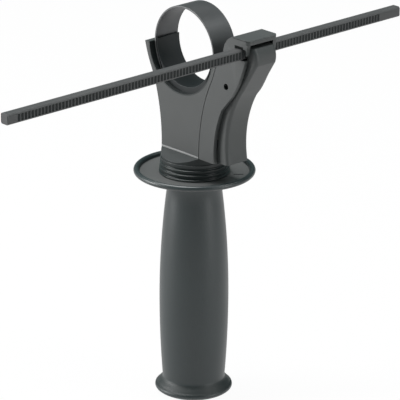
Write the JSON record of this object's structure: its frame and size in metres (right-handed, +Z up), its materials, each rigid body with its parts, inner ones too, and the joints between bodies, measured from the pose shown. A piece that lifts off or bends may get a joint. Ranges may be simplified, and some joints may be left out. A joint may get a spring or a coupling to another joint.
{
  "type": "power tool side handle",
  "caption": "Clamp-on side handle for a drill: strap clamp on a round collar, turning grip with hand guard, and a latched toothed depth rod.",
  "frame": {"origin": "centre of the tool's collar, on the axis of the clamp and of the grip", "axes": "+Z up along the grip's axis, towards the collar; Y along the collar's axis and the depth rod; +X towards the rod and its release lever"},
  "size_m": [0.0903, 0.283, 0.228],
  "materials": {
    "dark_plastic": "satin",
    "grip_plastic": "satin",
    "rod_plastic": "satin",
    "black_steel": "blackened satin",
    "steel": "satin",
    "brass": "machined"
  },
  "bodies": {
    "frame": {"saddle_body": "dark_plastic", "collar_cradle": "dark_plastic", "thrust_collar": "dark_plastic", "depth_stop_holder": "dark_plastic", "holder_screw_upper": "steel", "holder_screw_lower": "steel", "lever_pin": "black_steel", "lever_spring": "steel"},
    "clamp": {"clamp_strap": "black_steel", "strap_bridge": "steel", "clamp_bolt": "steel", "bolt_washer": "steel"},
    "lever": {"release_lever": "dark_plastic"},
    "rod": {"depth_rod": "rod_plastic"},
    "grip_body": {"grip": "grip_plastic", "grip_nut": "brass", "end_cap": "grip_plastic", "thrust_washer": "steel"}
  },
  "joints": [
    {"name": "grip_turn", "type": "hinge", "parent": "frame", "child": "grip_body", "pos_m": [0, 0, -0.0719], "axis": [0, 0, 1], "range_deg": [-287, 287]},
    {"name": "strap_draw", "type": "slide", "parent": "frame", "child": "clamp", "axis": [0, 0, 1], "range_m": [-0.001, 0.001]},
    {"name": "lever_pivot", "type": "hinge", "parent": "frame", "child": "lever", "pos_m": [0.0364, 0, -0.0125], "axis": [0, 1, 0], "range_deg": [0, 4.5], "stiffness_Nm_per_rad": 0.5, "springref_deg": -2.86, "deforming": ["lever_spring"]},
    {"name": "rod_slide", "type": "slide", "parent": "frame", "child": "rod", "axis": [0, 1, 0], "range_m": [-0.085, 0.15]}
  ],
  "couplings": [
    {"joint": "strap_draw", "follows": "grip_turn", "m_per_rad": -0.00019894}
  ]
}
